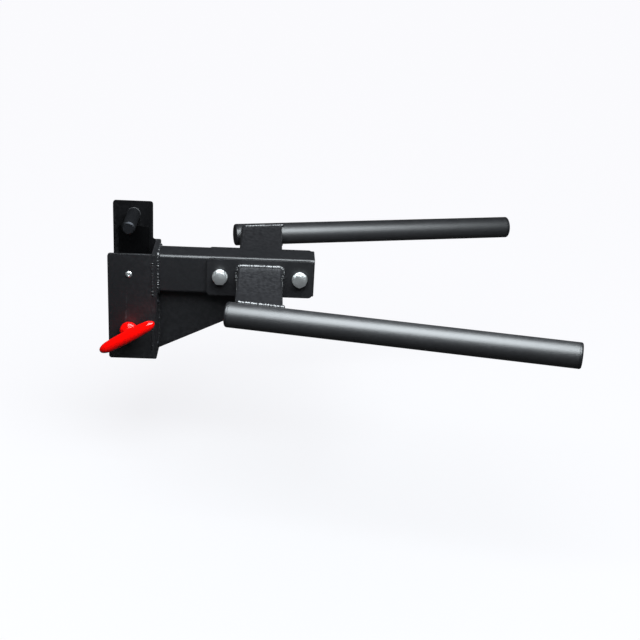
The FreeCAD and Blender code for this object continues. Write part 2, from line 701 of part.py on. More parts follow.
def neck_socket():
    """The space inside the handle's hub that the grooved neck fills, with its running clearance."""
    neck = NECK_DIAMETER / 2 + NECK_FIT
    groove = NECK_GROOVE_DIAMETER / 2 + NECK_FIT
    back = -OUTER_Y
    groove_start = back - NECK_GROOVE_START - NECK_FIT
    groove_end = back - NECK_GROOVE_START - NECK_GROOVE_WIDTH + NECK_FIT
    end = back - NECK_LENGTH - NECK_FIT
    points = [
        (end, 0),
        (end, neck),
        (groove_end, neck),
        (groove_end, groove),
        (groove_start, groove),
        (groove_start, neck),
        (back, neck),
        (back, 0),
    ]
    return turned(points, vector(0, 0, PIN_Z), Y_AXIS)


def tip_point(end, angle):
    """A point on the rounded tip at one end (-1 or 1) of the grip, at an angle round from its axis."""
    turn = math.radians(angle)
    inset = GRIP_TIP_RADIUS * (1 - math.cos(turn))
    return vector(end * (GRIP_LENGTH / 2 - inset), 0, GRIP_TIP_RADIUS * math.sin(turn))


def grip_bar():
    """The cross bar of the T-handle: thickest in the middle, with long rounded ends, along X."""
    lobe_x = GRIP_LENGTH / 2 - GRIP_LOBE_INSET
    shoulder_x = GRIP_LENGTH / 2 - GRIP_SHOULDER_INSET
    stations = (
        (-shoulder_x, GRIP_SHOULDER_DIAMETER),
        (-lobe_x, GRIP_LOBE_DIAMETER),
        (0, GRIP_MIDDLE_DIAMETER),
        (lobe_x, GRIP_LOBE_DIAMETER),
        (shoulder_x, GRIP_SHOULDER_DIAMETER),
    )
    left = [tip_point(-1, angle) for angle in (0, GRIP_TIP_ARC / 2, GRIP_TIP_ARC)]
    right = [tip_point(1, angle) for angle in (GRIP_TIP_ARC, GRIP_TIP_ARC / 2, 0)]
    crest = Part.BSplineCurve()
    crest.interpolate([left[-1]] + [vector(x, 0, size / 2) for x, size in stations] + [right[0]])
    curves = [Part.Arc(*left), crest, Part.Arc(*right), Part.LineSegment(right[-1], left[0])]
    outline = Part.Wire([curve.toShape() for curve in curves])
    return Part.Face(outline).revolve(vector(0, 0, 0), X_AXIS, 360)


def t_handle():
    """The moulded T-handle: a rounded hub, a stem, the cross bar and the socket for the pin's neck."""
    bar = grip_bar()
    bar.rotate(vector(0, 0, 0), Y_AXIS, -GRIP_TILT)
    bar.translate(vector(0, -OUTER_Y - GRIP_OFFSET, PIN_Z))
    radius = HUB_DIAMETER / 2
    hub = rod(radius, vector(0, -OUTER_Y - HUB_GAP, PIN_Z), Y_AXIS * -1, HUB_LENGTH - HUB_GAP)
    rims = [edge for edge in hub.Edges if edge.BoundBox.XLength > radius > 2 * edge.BoundBox.YLength]
    hub = hub.makeFillet(HUB_EDGE_RADIUS, rims)
    stem_start = vector(0, -OUTER_Y - HUB_LENGTH / 2, PIN_Z)
    stem_length = GRIP_OFFSET - HUB_LENGTH / 2
    stem = rod(GRIP_STEM_DIAMETER / 2, stem_start, Y_AXIS * -1, stem_length)
    body = hub.fuse([stem, bar]).removeSplitter()
    return body.cut(neck_socket())


def weld_collar(width, height, radius, leg, place, direction, centre):
    """A fillet weld all round a rectangular tube where it meets a plate."""
    rings = []
    for margin in (leg, WELD_CREST):
        u = width / 2 + margin
        v = height / 2 + margin
        rings.append(rounded_wire(rectangle(-u, -v, u, v, radius + margin), place))
    rings[-1].translate(direction * leg)
    collar = Part.makeLoft(rings, True, True)
    tube = section_face(width, height, radius, place).extrude(direction * leg)
    collar = collar.cut(tube)
    collar.translate(centre)
    return collar


def arm_weld():
    """The fillet weld round the arm where it meets the web."""
    centre = vector(WEB_OUTER_X, 0, ARM_Z)
    return weld_collar(ARM_WIDTH, ARM_HEIGHT, ARM_RADIUS, ARM_WELD_LEG, in_yz, X_AXIS, centre)


def spreader_welds():
    """The fillet welds round both spreader tubes where they meet the mounting plates."""
    collars = []
    for side in (-1, 1):
        centre = vector(MOUNT_CENTRE_X, side * MOUNT_OUTER_Y, ARM_Z)
        size = (SPREADER_WIDTH, SPREADER_HEIGHT, SPREADER_RADIUS)
        collars.append(weld_collar(*size, SPREADER_WELD_LEG, in_xz, Y_AXIS * side, centre))
    return Part.makeCompound(collars)


def handle_welds():
    """The beads along the top and bottom of each joint between spreader and handle."""
    beads = []
    for side in (-1, 1):
        beside, direction = handle_frame(side)
        start = beside - direction * HANDLE_TAIL
        handle = rod(HANDLE_DIAMETER / 2, start, direction, HANDLE_LENGTH)
        spreader = coped_end(spreader_blank(side, 0), side)
        across = vector(-direction.y, direction.x, 0) * side
        half_run = SPREADER_WIDTH / 2 / math.cos(math.radians(HANDLE_ANGLE)) - SPREADER_RADIUS
        for face in (-1, 1):
            middle = beside - across * SPREADER_SHORT + Z_AXIS * (face * SPREADER_HEIGHT / 2)
            middle = middle - direction * (SPREADER_SHORT * math.tan(math.radians(HANDLE_ANGLE)))
            bead = rod(HANDLE_WELD_RADIUS, middle - direction * half_run, direction, 2 * half_run)
            beads.append(bead.cut(handle).cut(spreader))
    return Part.makeCompound(beads)


def bead_prism(corner, along, leg_a, leg_b):
    """A straight fillet weld: a triangle with its right angle at corner, swept along."""
    wire = Part.makePolygon([corner, corner + leg_a, corner + leg_b, corner])
    return Part.Face(wire).extrude(along)


def gusset_welds():
    """Fillet welds on both faces of the gusset, to the web and to the underside of the arm."""
    beads = []
    web_run = ARM_BOTTOM_Z - GUSSET_SNIPE - BOTTOM_Z - GUSSET_BOTTOM_MARGIN
    arm_run = GUSSET_LENGTH - GUSSET_SNIPE
    for side in (-1, 1):
        out_y = vector(0, side * GUSSET_WELD_LEG, 0)
        foot = vector(WEB_OUTER_X, side * GUSSET_THICKNESS / 2, BOTTOM_Z + GUSSET_BOTTOM_MARGIN)
        beads.append(bead_prism(foot, vector(0, 0, web_run), out_y, vector(GUSSET_WELD_LEG, 0, 0)))
        head = vector(WEB_OUTER_X + GUSSET_SNIPE, side * GUSSET_THICKNESS / 2, ARM_BOTTOM_Z)
        beads.append(bead_prism(head, vector(arm_run, 0, 0), out_y, vector(0, 0, -GUSSET_WELD_LEG)))
    return Part.makeCompound(beads)


def hook_pin_weld():
    """The ring of weld at the root of the hook pin."""
    radius = HOOK_SEAT_DIAMETER / 2
    points = [
        (0, radius + WELD_GAP),
        (0, radius + HOOK_WELD_LEG),
        (-HOOK_WELD_LEG, radius + WELD_CREST),
        (-HOOK_WELD_LEG, radius + WELD_GAP),
    ]
    return turned(points, vector(0, INNER_Y, 0), Y_AXIS)


def stitch(side, bottom_z, length):
    """One low stitch weld over the seam between a side plate and the web."""
    half = STITCH_WIDTH / 2
    left = vector(WEB_INNER_X - half, side * OUTER_Y, bottom_z)
    crown = vector(WEB_INNER_X, side * (OUTER_Y + STITCH_RISE), bottom_z)
    right = vector(WEB_INNER_X + half, side * OUTER_Y, bottom_z)
    curves = (Part.Arc(left, crown, right), Part.LineSegment(right, left))
    outline = Part.Wire([curve.toShape() for curve in curves])
    return Part.Face(outline).extrude(vector(0, 0, length))


def web_welds():
    """Two stitch welds on each side of the bracket."""
    stitches = []
    for side in (-1, 1):
        stitches.append(stitch(side, BOTTOM_Z + LOWER_STITCH_MARGIN, LOWER_STITCH_LENGTH))
        upper_z = NEAR_TOP_Z - UPPER_STITCH_MARGIN - UPPER_STITCH_LENGTH
        stitches.append(stitch(side, upper_z, UPPER_STITCH_LENGTH))
    return Part.makeCompound(stitches)


def build():
    """Every node of the part by name."""
    screws, nuts = liner_fasteners()
    near_inner_cap, near_outer_cap = handle_caps(-1)
    far_inner_cap, far_outer_cap = handle_caps(1)
    turns = (NEAR_BOLT_TURN, OUTER_BOLT_TURN)
    return {
        "near_side_plate": near_side_plate(),
        "far_side_plate": far_side_plate(),
        "web_plate": web_plate(),
        "hook_pin": hook_pin(),
        "near_liner": near_liner(),
        "far_liner": far_liner(),
        "web_liner": web_liner(),
        "liner_screws": screws,
        "liner_nuts": nuts,
        "arm_tube": arm_tube(),
        "gusset_plate": gusset_plate(),
        "arm_end_cap": arm_end_cap(),
        "near_mounting_plate": mounting_plate(-1),
        "far_mounting_plate": mounting_plate(1),
        "near_spreader_tube": spreader_tube(-1),
        "far_spreader_tube": spreader_tube(1),
        "near_handle_tube": handle_tube(-1),
        "far_handle_tube": handle_tube(1),
        "near_handle_inner_cap": near_inner_cap,
        "near_handle_outer_cap": near_outer_cap,
        "far_handle_inner_cap": far_inner_cap,
        "far_handle_outer_cap": far_outer_cap,
        "clamp_bolts": Part.makeCompound([clamp_bolt(x, turn) for x, turn in zip(BOLT_XS, turns)]),
        "bolt_washers": bolt_washers(),
        "lock_nuts": Part.makeCompound([lock_nut(x, turn) for x, turn in zip(BOLT_XS, turns)]),
        "nut_inserts": Part.makeCompound([nut_insert(x) for x in BOLT_XS]),
        "arm_weld": arm_weld(),
        "gusset_welds": gusset_welds(),
        "web_welds": web_welds(),
        "hook_pin_weld": hook_pin_weld(),
        "spreader_welds": spreader_welds(),
        "handle_welds": handle_welds(),
        "locking_pin_shaft": locking_pin_shaft(),
        "t_handle": t_handle(),
    }


os.makedirs("parts", exist_ok=True)
for name, shape in build().items():
    shape.exportStep("parts/" + name + ".step")
    print(name, len(shape.Solids), shape.isValid(), round(shape.Volume / 1000, 2))
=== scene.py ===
import math
import random

import bpy
from mathutils import Matrix, Vector


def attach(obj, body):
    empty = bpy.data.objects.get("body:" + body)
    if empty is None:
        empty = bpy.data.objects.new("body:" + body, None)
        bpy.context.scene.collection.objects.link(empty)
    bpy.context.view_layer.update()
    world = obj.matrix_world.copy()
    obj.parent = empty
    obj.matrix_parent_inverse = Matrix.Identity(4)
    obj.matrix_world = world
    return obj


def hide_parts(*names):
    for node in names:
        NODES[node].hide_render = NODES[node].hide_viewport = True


# Rack-mounted dip attachment: finishes, softened edges, weld beads and fine detail.
# Metres, in the frame of the solids: X out along the arm, Y across the upright, Z up.

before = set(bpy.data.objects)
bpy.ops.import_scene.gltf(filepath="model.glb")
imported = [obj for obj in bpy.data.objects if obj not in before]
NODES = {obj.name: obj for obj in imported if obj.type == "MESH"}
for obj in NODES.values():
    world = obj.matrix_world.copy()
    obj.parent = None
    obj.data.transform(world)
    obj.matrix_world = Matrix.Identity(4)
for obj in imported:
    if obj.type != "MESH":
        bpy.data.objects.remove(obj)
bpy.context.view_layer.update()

# The camera, at the photograph's angle
CAMERA_PLACE = Vector((0.2516, -2.1074, 0.6824))
CAMERA_AZIMUTH = math.radians(-3.1864)
CAMERA_ELEVATION = math.radians(22.4756)
CAMERA_ROLL = math.radians(-3.2295)
CAMERA_LENS = 64.961
SENSOR_WIDTH = 36.0

# The studio
FLOOR_Z = -0.47
FLOOR_SIZE = 60.0
FLOOR_CENTRE = Vector((0.25, 0.0, FLOOR_Z))
FLOOR_BOUNCE = (0.02, 0.02, 0.021, 1.0)
BACKGROUND = (0.956, 0.956, 0.982, 1.0)
STUDIO_GREY = (0.016, 0.017, 0.019, 1.0)
GLOSSY_SHARE = 0.022
FLOOR_TONE = 0.11
FLOOR_COLOUR = (FLOOR_TONE, FLOOR_TONE, FLOOR_TONE, 1.0)
LAMP_PLACE = Vector((0.38, -0.54, 0.72))
LAMP_TARGET = Vector((0.38, -0.08, -0.1))
LAMP_SIZE = (1.16, 0.92)
LAMP_POWER = 36.0
LAMP_COLOUR = (0.92, 0.99, 1.03)
FILL_PLACE = Vector((0.2, -3.6, 1.1))
FILL_TARGET = Vector((0.25, 0.0, -0.1))
FILL_SIZE = (6.0, 3.0)
FILL_POWER = 2.5

# The sizes shared with the solids, in metres
OUTER_Y = 0.0483
INNER_Y = 0.0423
WEB_INNER_X = 0.0426
WEB_OUTER_X = 0.0521
BOTTOM_Z = -0.265
NEAR_TOP_Z = -0.051
ARM_Z = -0.0944
ARM_WIDTH = 0.0572
ARM_HEIGHT = 0.0762
ARM_RADIUS = 0.006
ARM_BOTTOM_Z = ARM_Z - ARM_HEIGHT / 2
MOUNT_CENTRE_X = 0.2473
MOUNT_OUTER_Y = 0.0346
BOLT_XS = (0.1711, 0.3235)
SPREADER_WIDTH = 0.085
SPREADER_HEIGHT = 0.045
SPREADER_RADIUS = 0.005
HANDLE_RADIUS = 0.02275
HANDLE_WALL = 0.0035
HANDLE_LENGTH = 0.606
HANDLE_TAIL = 0.0522
HANDLE_HALF_SPREAD = 0.2338
HANDLE_ANGLE = math.radians(12.0)
HANDLE_SIDES = 96
GUSSET_LENGTH = 0.246
GUSSET_SNIPE = 0.009
GUSSET_HALF_THICKNESS = 0.003
GUSSET_BOTTOM_MARGIN = 0.0045

# The hardware: where side screws end and web screws begin, and how far the bolts turn
SCREW_SPLIT_Y = 0.032
BOLT_REACH = 0.03
BOLT_TURN = math.radians(30.0)

# Edges: the angles in degrees at which they are rounded or shaded sharp, and their radii
FACET_ANGLE = 0.6
CUT_EDGE_ANGLE = 32.0
RIM_ANGLE = 50.0
SMOOTH_ANGLE = 38.0
RIM_WIDTH = 0.0006
LINER_EDGE = 0.0005
WASHER_EDGE = 0.0008
NUT_EDGE = 0.0003

# The weld beads: spacing and shape of the ripples, and how beads sit on their joints
RIPPLE = 0.0021
RIPPLE_LENGTH = 0.62
STAND_OFF = 0.0003
PLATE_STAND_OFF = 0.0002
LOOP_GROWTH = 0.001
HANDLE_BEAD_OUT = 0.0065
HANDLE_BEAD_DROP = 0.0012
HANDLE_BEAD_END_GAP = 0.003
GUSSET_END_GAP = 0.002
GUSSET_TIP_GAP = 0.003
RING_RADIUS = 0.0123
RING_STEPS = 60
SEAM_STEP = 0.0017
SEAM_INSET_Y = 0.0022
SEAM_OUT_X = 0.0015
SEAM_STITCHES = ((BOTTOM_Z + 0.020, 0.051), (NEAR_TOP_Z - 0.081, 0.0635))

# The moulding of the T-handle
MOULD_VOXEL = 0.0008
MOULD_SMOOTHING = 14


# Steps that several pieces share

def select_only(*pieces):
    """Selects these objects alone and makes the first one active."""
    bpy.ops.object.select_all(action="DESELECT")
    for piece in pieces:
        piece.select_set(True)
    bpy.context.view_layer.objects.active = pieces[0]


def apply_modifier(piece, kind, **settings):
    """Adds a modifier with these settings and applies it."""
    select_only(piece)
    modifier = piece.modifiers.new(kind.title(), kind)
    for key, value in settings.items():
        setattr(modifier, key, value)
    bpy.ops.object.modifier_apply(modifier=modifier.name)


def settle(piece):
    """Puts the piece's place into its mesh, so that its object sits at the origin."""
    select_only(piece)
    bpy.ops.object.transform_apply(location=True, rotation=True, scale=True)


def tidy_mesh(piece):
    """Merges loose triangles and turns every face outwards."""
    select_only(piece)
    bpy.ops.object.mode_set(mode="EDIT")
    bpy.ops.mesh.select_all(action="SELECT")
    bpy.ops.mesh.remove_doubles(threshold=1e-6)
    bpy.ops.mesh.normals_make_consistent(inside=False)
    bpy.ops.object.mode_set(mode="OBJECT")


def flatten_facets(piece):
    """Joins the coplanar triangles of a merged copy into whole faces."""
    select_only(piece)
    bpy.ops.object.mode_set(mode="EDIT")
    bpy.ops.mesh.select_all(action="SELECT")
    bpy.ops.mesh.dissolve_limited(angle_limit=math.radians(FACET_ANGLE))
    bpy.ops.object.mode_set(mode="OBJECT")


def shade(piece, angle=SMOOTH_ANGLE):
    """Smooth shading up to this angle, in degrees."""
    select_only(piece)
    bpy.ops.object.shade_smooth_by_angle(angle=math.radians(angle))


def finish_piece(piece, body, material, slot, *nodes):
    """Gives a piece its material and its body, and hides the solids that it stands for."""
    piece.data.materials.clear()
    piece.data.materials.append(material)
    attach(piece, body)
    if nodes:
        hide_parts(*nodes)
    return piece


def copy_of(node, name):
    """A merged copy of a solid, to be worked on as a piece of its own."""
    mesh = NODES[node].data.copy()
    mesh.materials.clear()
    piece = bpy.data.objects.new(name, mesh)
    bpy.context.scene.collection.objects.link(piece)
    select_only(piece)
    if mesh.has_custom_normals:
        bpy.ops.mesh.customdata_custom_splitnormals_clear()
    tidy_mesh(piece)
    return piece


def keep_where(piece, wanted):
    """Deletes the vertices of a piece whose places aren't wanted."""
    select_only(piece)
    for part in (*piece.data.polygons, *piece.data.edges):
        part.select = False
    for vertex in piece.data.vertices:
        vertex.select = not wanted(vertex.co)
    bpy.ops.object.mode_set(mode="EDIT")
    bpy.ops.mesh.select_mode(type="VERT")
    bpy.ops.mesh.delete(type="VERT")
    bpy.ops.object.mode_set(mode="OBJECT")


def round_edges(piece, width, limit, segments=3, **settings):
    """Rounds the edges sharper than a limit in degrees and evens out the shading over them."""
    apply_modifier(
        piece, "BEVEL", width=width, segments=segments, limit_method="ANGLE",
        angle_limit=math.radians(limit), **settings,
    )
    shade(piece)
    apply_modifier(piece, "WEIGHTED_NORMAL", keep_sharp=True, weight=50)


def softened(node, name, width, segments=3):
    """A copy of a solid with its sharp edges rounded as cut, ground and coated steel has them."""
    piece = copy_of(node, name)
    flatten_facets(piece)
    round_edges(
        piece, width, CUT_EDGE_ANGLE, segments, use_clamp_overlap=True, miter_outer="MITER_ARC",
    )
    return piece


# Node groups and materials

class Graph:
    """A short way to add and join the nodes of one tree."""

    def __init__(self, tree):
        self.tree = tree
        self.nodes = tree.nodes

    def add(self, kind, **settings):
        node = self.nodes.new(kind)
        for key, value in settings.items():
            setattr(node, key, value)
        return node

    def join(self, source, target):
        self.tree.links.new(source, target)

    def value(self, operation, first, second=None, clamp=False):
        """A Math node; each operand is a number or a socket."""
        node = self.add("ShaderNodeMath", operation=operation, use_clamp=clamp)
        for socket, operand in zip(node.inputs, (first, second)):
            if operand is None:
                continue
            if isinstance(operand, (int, float)):
                socket.default_value = operand
            else:
                self.join(operand, socket)
        return node.outputs[0]

    def times(self, first, second, clamp=False):
        """The product of two operands."""
        return self.value("MULTIPLY", first, second, clamp)

    def spread(self, source, low, high, to_low=0.0, to_high=1.0):
        """A Map Range node from low..high to to_low..to_high, clamped."""
        node = self.add("ShaderNodeMapRange")
        self.join(source, node.inputs["Value"])
        node.inputs["From Min"].default_value = low
        node.inputs["From Max"].default_value = high
        node.inputs["To Min"].default_value = to_low
        node.inputs["To Max"].default_value = to_high
        return node.outputs[0]

    def noise(self, vector, scale, detail=2.0, roughness=0.5):
        """A Noise Texture's value; scale is a number or a socket."""
        node = self.add("ShaderNodeTexNoise")
        self.join(vector, node.inputs["Vector"])
        if isinstance(scale, (int, float)):
            node.inputs["Scale"].default_value = scale
        else:
            self.join(scale, node.inputs["Scale"])
        node.inputs["Detail"].default_value = detail
        node.inputs["Roughness"].default_value = roughness
        return node.outputs[0]

    def blend_colours(self, share, first, second):
        """A colour mix; share, first and second are sockets or constants."""
        node = self.add("ShaderNodeMix", data_type="RGBA")
        sockets = (node.inputs[0], node.inputs[6], node.inputs[7])
        for socket, operand in zip(sockets, (share, first, second)):
            if isinstance(operand, (int, float, tuple)):
                socket.default_value = operand
            else:
                self.join(operand, socket)
        return node.outputs[2]


def new_group(name, inputs, outputs):
    """An empty node group with float inputs (name: default) and float outputs."""
    tree = bpy.data.node_groups.new(name, "ShaderNodeTree")
    for label, default in inputs.items():
        socket = tree.interface.new_socket(label, in_out="INPUT", socket_type="NodeSocketFloat")
        socket.default_value = default
    for label in outputs:
        tree.interface.new_socket(label, in_out="OUTPUT", socket_type="NodeSocketFloat")
    graph = Graph(tree)
    entry = graph.add("NodeGroupInput")
    leave = graph.add("NodeGroupOutput")
    return tree, graph, entry.outputs, leave.inputs


def build_coat_grain():
    """Powder coat: a fine pebbled height, its gloss change and a slow drift of tone."""
    inputs = {"Grain Scale": 1500.0, "Drift Scale": 14.0}
    tree, graph, given, result = new_group("coat_grain", inputs, ("Height", "Gloss", "Drift"))
    place = graph.add("ShaderNodeTexCoord").outputs["Object"]
    fine = graph.noise(place, given["Grain Scale"], detail=3.0, roughness=0.55)
    coarser = graph.times(given["Grain Scale"], 0.31)
    pebble = graph.noise(place, coarser)
    height = graph.value("ADD", graph.times(fine, 0.45), graph.times(pebble, 0.55))
    graph.join(height, result["Height"])
    graph.join(graph.spread(pebble, 0.3, 0.7), result["Gloss"])
    drift = graph.noise(place, given["Drift Scale"], detail=4.0, roughness=0.6)
    graph.join(graph.spread(drift, 0.3, 0.7), result["Drift"])
    return tree


def build_edge_rub():
    """A mask of sharp convex edges, for edge wear and, on the powder coat, a painted edge
    highlight: high where the surface is sharply convex, broken up by noise.
    """
    inputs = {"Low": 0.52, "High": 0.6, "Break Scale": 160.0}
    tree, graph, given, result = new_group("edge_rub_and_highlight", inputs, ("Mask",))
    place = graph.add("ShaderNodeTexCoord").outputs["Object"]
    point = graph.add("ShaderNodeNewGeometry").outputs["Pointiness"]
    ranged = graph.add("ShaderNodeMapRange")
    graph.join(point, ranged.inputs["Value"])
    graph.join(given["Low"], ranged.inputs["From Min"])
    graph.join(given["High"], ranged.inputs["From Max"])
    broken = graph.noise(place, given["Break Scale"], detail=4.0, roughness=0.65)
    gaps = graph.spread(broken, 0.4, 0.62)
    graph.join(graph.times(ranged.outputs[0], gaps, clamp=True), result["Mask"])
    return tree


def build_dust():
    """A thin dust mask on faces that look up, thicker in blots."""
    tree, graph, given, result = new_group("dust", {"Blot Scale": 45.0}, ("Mask",))
    place = graph.add("ShaderNodeTexCoord").outputs["Object"]
    normal = graph.add("ShaderNodeNewGeometry").outputs["Normal"]
    parts = graph.add("ShaderNodeSeparateXYZ")
    graph.join(normal, parts.inputs[0])
    upward = graph.spread(parts.outputs["Z"], 0.35, 1.0)
    blots = graph.noise(place, given["Blot Scale"], detail=6.0, roughness=0.7)
    graph.join(graph.times(upward, graph.spread(blots, 0.42, 0.72), clamp=True), result["Mask"])
    return tree


def build_turning_lines():
    """Lathe lines round an axis along Y: a height and a streak mask."""
    inputs = {"Line Scale": 900.0}
    tree, graph, given, result = new_group("turning_lines", inputs, ("Height", "Streak"))
    place = graph.add("ShaderNodeTexCoord").outputs["Object"]
    parts = graph.add("ShaderNodeSeparateXYZ")
    graph.join(place, parts.inputs[0])
    along = graph.add("ShaderNodeCombineXYZ")
    graph.join(parts.outputs["Y"], along.inputs["Y"])
    lines = graph.noise(along.outputs[0], given["Line Scale"], detail=3.0, roughness=0.6)
    graph.join(lines, result["Height"])
    blots = graph.noise(place, 60.0, detail=4.0, roughness=0.6)
    mixed = graph.value("ADD", graph.times(lines, 0.6), graph.times(blots, 0.4))
    graph.join(graph.spread(mixed, 0.38, 0.62), result["Streak"])
    return tree


def build_plating():
    """Zinc plating: a cloudy spangle and a faint speckle of handling marks."""
    inputs = {"Cloud Scale": 220.0}
    tree, graph, given, result = new_group("zinc_clouds", inputs, ("Cloud", "Speck"))
    place = graph.add("ShaderNodeTexCoord").outputs["Object"]
    clouds = graph.noise(place, given["Cloud Scale"], detail=5.0, roughness=0.6)
    graph.join(graph.spread(clouds, 0.33, 0.67), result["Cloud"])
    specks = graph.noise(place, graph.times(given["Cloud Scale"], 6.0))
    graph.join(graph.spread(specks, 0.55, 0.75), result["Speck"])
    return tree


COAT_GRAIN = build_coat_grain()
EDGE_RUB_AND_HIGHLIGHT = build_edge_rub()
DUST = build_dust()
TURNING_LINES = build_turning_lines()
PLATING = build_plating()

DUST_COLOUR = (0.35, 0.34, 0.33, 1.0)
SPECK_COLOUR = (0.2, 0.2, 0.2, 1.0)
RUBBED_STEEL = (0.5, 0.5, 0.51, 1.0)
PLATING_DEPTH = 0.00003
TURNING_DEPTH = 0.00004


def new_material(name):
    """A material with its Principled BSDF and a Graph."""
    material = bpy.data.materials.new(name)
    material.use_nodes = True
    graph = Graph(material.node_tree)
    shader = next(node for node in graph.nodes if node.type == "BSDF_PRINCIPLED")
    return material, graph, shader


def place_group(graph, tree, **values):
    """A group node in a material; underscores in the names stand for spaces."""
    node = graph.add("ShaderNodeGroup", node_tree=tree)
    for label, value in values.items():
        node.inputs[label.replace("_", " ")].default_value = value
    return node.outputs


def bump(graph, height, strength, distance, shader):
    """Joins a height to the shader's normal."""
    node = graph.add("ShaderNodeBump")
    node.inputs["Strength"].default_value = strength
    node.inputs["Distance"].default_value = distance
    graph.join(height, node.inputs["Height"])
    graph.join(node.outputs[0], shader.inputs["Normal"])


def powder_coat(name, tone, rub_and_highlight, roughness, pebbles, dust, reflection, lacquer):
    """Black powder coat: fine grain, edges lightened partly as wear and partly as a painted
    highlight, and a trace of dust.

    roughness is (low, high), pebbles (scale, depth) and lacquer (weight, roughness).
    """
    material, graph, shader = new_material(name)
    grain = place_group(graph, COAT_GRAIN, Grain_Scale=pebbles[0], Drift_Scale=11.0)
    rub_and_highlight_mask = place_group(graph, EDGE_RUB_AND_HIGHLIGHT, Low=0.515, High=0.6, Break_Scale=170.0)
    dusty = place_group(graph, DUST, Blot_Scale=38.0)
    lighter = tuple(part * 1.35 for part in tone[:3]) + (1.0,)
    colour = graph.blend_colours(graph.times(grain["Drift"], 0.6), tone, lighter)
    # sharp edges lightened: partly wear, partly a painted highlight on the rounded edges
    colour = graph.blend_colours(graph.times(rub_and_highlight_mask["Mask"], 0.55), colour, rub_and_highlight)
    colour = graph.blend_colours(graph.times(dusty["Mask"], dust), colour, DUST_COLOUR)
    graph.join(colour, shader.inputs["Base Color"])
    gloss = graph.value("ADD", graph.times(grain["Gloss"], 0.6), graph.times(grain["Drift"], 0.4))
    rough = graph.spread(gloss, 0.0, 1.0, *roughness)
    rough = graph.value("ADD", rough, graph.times(dusty["Mask"], dust))
    graph.join(rough, shader.inputs["Roughness"])
    shader.inputs["Specular IOR Level"].default_value = reflection
    shader.inputs["Coat Weight"].default_value = lacquer[0]
    shader.inputs["Coat Roughness"].default_value = lacquer[1]
    bump(graph, grain["Height"], 0.35, pebbles[1], shader)
    return material


def moulded_plastic(name, tone, scuff, roughness, pebbles, reflection=0.5):
    """Moulded plastic: a fine texture with slightly polished high spots and pale scuffs."""
    material, graph, shader = new_material(name)
    grain = place_group(graph, COAT_GRAIN, Grain_Scale=pebbles[0], Drift_Scale=24.0)
    rub_and_highlight_mask = place_group(graph, EDGE_RUB_AND_HIGHLIGHT, Low=0.53, High=0.64, Break_Scale=260.0)
    lighter = tuple(min(1.0, part * 1.5) for part in tone[:3]) + (1.0,)
    colour = graph.blend_colours(graph.times(grain["Drift"], 0.45), tone, lighter)
    colour = graph.blend_colours(graph.times(rub_and_highlight_mask["Mask"], 0.4), colour, scuff)
    graph.join(colour, shader.inputs["Base Color"])
    graph.join(graph.spread(grain["Gloss"], 0.0, 1.0, *roughness), shader.inputs["Roughness"])
    shader.inputs["Specular IOR Level"].default_value = reflection
    bump(graph, grain["Height"], 0.3, pebbles[1], shader)
    return material


def zinc_plate(name, bright, dull, roughness):
    """Bright zinc plating with a cloudy spangle and small dark specks."""
    material, graph, shader = new_material(name)
    plating = place_group(graph, PLATING, Cloud_Scale=120.0)
    colour = graph.blend_colours(plating["Cloud"], bright, dull)
    colour = graph.blend_colours(graph.times(plating["Speck"], 0.2), colour, SPECK_COLOUR)
    graph.join(colour, shader.inputs["Base Color"])
    graph.join(graph.spread(plating["Cloud"], 0.0, 1.0, *roughness), shader.inputs["Roughness"])
    shader.inputs["Metallic"].default_value = 0.93
    bump(graph, plating["Cloud"], 0.25, PLATING_DEPTH, shader)
    return material


def turned_steel(name, bright, dull, roughness, rub_and_highlight):
    """Lathe-turned steel with fine lines round a Y axis."""
    material, graph, shader = new_material(name)
    lines = place_group(graph, TURNING_LINES, Line_Scale=1100.0)
    rub_and_highlight_mask = place_group(graph, EDGE_RUB_AND_HIGHLIGHT, Low=0.52, High=0.6, Break_Scale=300.0)
    colour = graph.blend_colours(lines["Streak"], dull, bright)
    colour = graph.blend_colours(graph.times(rub_and_highlight_mask["Mask"], rub_and_highlight), colour, RUBBED_STEEL)
    graph.join(colour, shader.inputs["Base Color"])
    rough_low, rough_high = roughness
    rough = graph.spread(lines["Streak"], 0.0, 1.0, rough_high, rough_low)
    graph.join(rough, shader.inputs["Roughness"])
    shader.inputs["Metallic"].default_value = 1.0
    bump(graph, lines["Height"], 0.3, TURNING_DEPTH, shader)
    return material


COAT = powder_coat(
    "black_powder_coat", tone=(0.005, 0.005, 0.006, 1.0), rub_and_highlight=(0.05, 0.05, 0.053, 1.0),
    roughness=(0.41, 0.45), pebbles=(1500.0, 0.000015), dust=0.004, reflection=0.6,
    lacquer=(0.12, 0.42),
)
HANDLE_COAT = powder_coat(
    "handle_powder_coat", tone=(0.008, 0.008, 0.009, 1.0), rub_and_highlight=(0.06, 0.06, 0.063, 1.0),
    roughness=(0.43, 0.48), pebbles=(1100.0, 0.00004), dust=0.02, reflection=1.0,
    lacquer=(0.2, 0.45),
)
